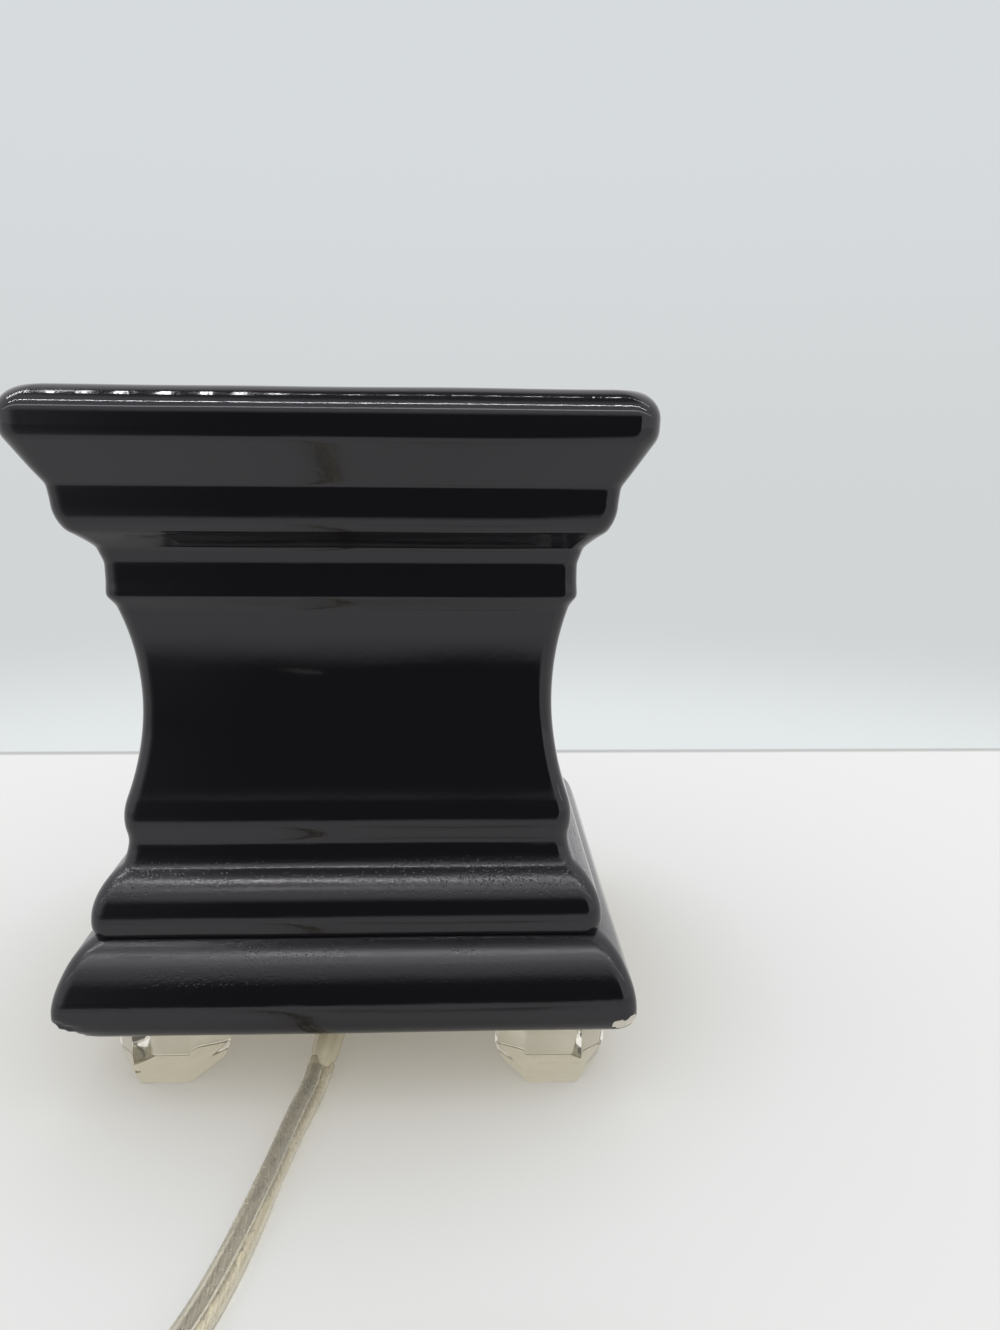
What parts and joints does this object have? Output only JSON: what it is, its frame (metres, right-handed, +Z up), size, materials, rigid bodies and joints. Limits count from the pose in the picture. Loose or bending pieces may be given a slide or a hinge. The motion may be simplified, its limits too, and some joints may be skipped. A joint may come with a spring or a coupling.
{
  "type": "electric wax warmer",
  "caption": "Square moulded black ceramic wax warmer on clear hexagonal feet, with a lift-out dish, a small screw-in bulb inside and a flat clear mains lead with a thumbwheel switch and plug.",
  "frame": {"origin": "on the table under the middle of the pedestal", "axes": "+Z up, the lead leaves towards -Y, which is the side that the picture shows, +X to the right of that side"},
  "size_m": [0.1242, 0.293, 0.14],
  "materials": {
    "black_glaze": "high-gloss black glaze over pale clay, thin at the mitres",
    "dish_glaze": "high-gloss black glaze",
    "clear_acrylic": "clear, faintly yellowed",
    "clear_glue": "clear glue, yellowed",
    "phenolic": "moulded black",
    "cap_plastic": "fine moulded texture",
    "shell_metal": "pressed thread",
    "brass": "plain",
    "blade_brass": "stamped",
    "wire_cover": "clear cover over strands",
    "screw_steel": "zinc plated",
    "clear_vinyl": "clear vinyl over stranded wires",
    "plug_vinyl": "clear vinyl, yellowed",
    "tie_plastic": "thin strip",
    "switch_shell": "moulded ivory",
    "wheel_plastic": "grooved",
    "bulb_glass": "clear",
    "black_glass": "fused black glass",
    "solder": "solder bead",
    "lamp_wire": "fine wire"
  },
  "bodies": {
    "root": {"ceramic_body": "black_glaze", "foot_front_left": "clear_acrylic", "foot_front_right": "clear_acrylic", "foot_rear_left": "clear_acrylic", "foot_rear_right": "clear_acrylic", "foot_glue": "clear_glue", "lampholder": "phenolic", "screw_shell": "shell_metal", "centre_contact": "brass", "terminal_screws": "brass", "lead_wires": "wire_cover", "wiring_cap": "cap_plastic", "clamp_screws": "screw_steel", "cord_bush": "clear_vinyl", "cord_lead": "clear_vinyl", "cord_feed": "clear_vinyl", "cord_coil": "clear_vinyl", "cord_tail": "clear_vinyl", "coil_tie": "tie_plastic", "switch_base": "switch_shell", "switch_cover": "switch_shell", "wheel_pin": "screw_steel", "switch_contacts": "brass", "switch_screw": "screw_steel", "plug_body": "plug_vinyl", "plug_blades": "blade_brass"},
    "dish": {"wax_dish": "dish_glaze"},
    "bulb_carrier": {"bulb_tip": "solder"},
    "bulb": {"bulb_glass": "bulb_glass", "bulb_cap": "shell_metal", "bulb_insulator": "black_glass", "bulb_stem": "bulb_glass", "bulb_leads": "lamp_wire", "bulb_filament": "lamp_wire"},
    "thumbwheel": {"switch_wheel": "wheel_plastic"}
  },
  "joints": [
    {"name": "dish_lift", "type": "slide", "parent": "root", "child": "dish", "axis": [0, 0, 1], "range_m": [0, 0.05]},
    {"name": "bulb_rise", "type": "slide", "parent": "root", "child": "bulb_carrier", "axis": [0, 0, 1], "range_m": [0, 0.0084]},
    {"name": "bulb_turn", "type": "hinge", "parent": "bulb_carrier", "child": "bulb", "pos_m": [0, 0, 0.06], "axis": [0, 0, 1], "range_deg": [0, 1080]},
    {"name": "wheel_turn", "type": "hinge", "parent": "root", "child": "thumbwheel", "pos_m": [0, -0.2265, 0.007], "axis": [0, 0, 1], "continuous": true}
  ],
  "couplings": [
    {"joint": "bulb_rise", "follows": "bulb_turn", "m_per_rad": 0.00044563}
  ]
}
